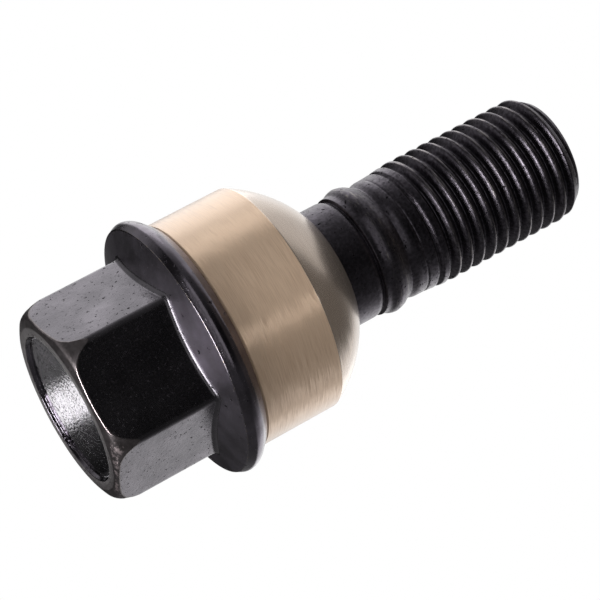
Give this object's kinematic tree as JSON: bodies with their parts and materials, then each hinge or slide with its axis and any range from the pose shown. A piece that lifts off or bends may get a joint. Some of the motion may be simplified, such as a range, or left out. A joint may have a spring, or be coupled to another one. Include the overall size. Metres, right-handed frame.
{
  "type": "wheel bolt",
  "caption": "Black hexagon-head wheel bolt with a dished end, coned flange and threaded shank, carrying a loose turned collar with a ball-shaped seat that turns on the shank.",
  "frame": {"origin": "on the bolt's axis, at the end of the head that it stands on", "axes": "+Z along the bolt's axis from the head's end to the thread's point, -Y square to one flat of the hexagon"},
  "size_m": [0.028, 0.028, 0.0588],
  "materials": {
    "black_steel": "black conversion coating on forged steel, satin, worn along the edges and thread crests",
    "turned_steel": "plated in a warm champagne tone, turned with fine lines round the outside, polished on the ball"
  },
  "bodies": {
    "bolt": {"bolt": "black_steel"},
    "collar": {"ball_seat_collar": "turned_steel"}
  },
  "joints": [
    {"name": "collar_spin", "type": "hinge", "parent": "bolt", "child": "collar", "pos_m": [0, 0, 0.0154], "axis": [0, 0, 1], "continuous": true}
  ]
}
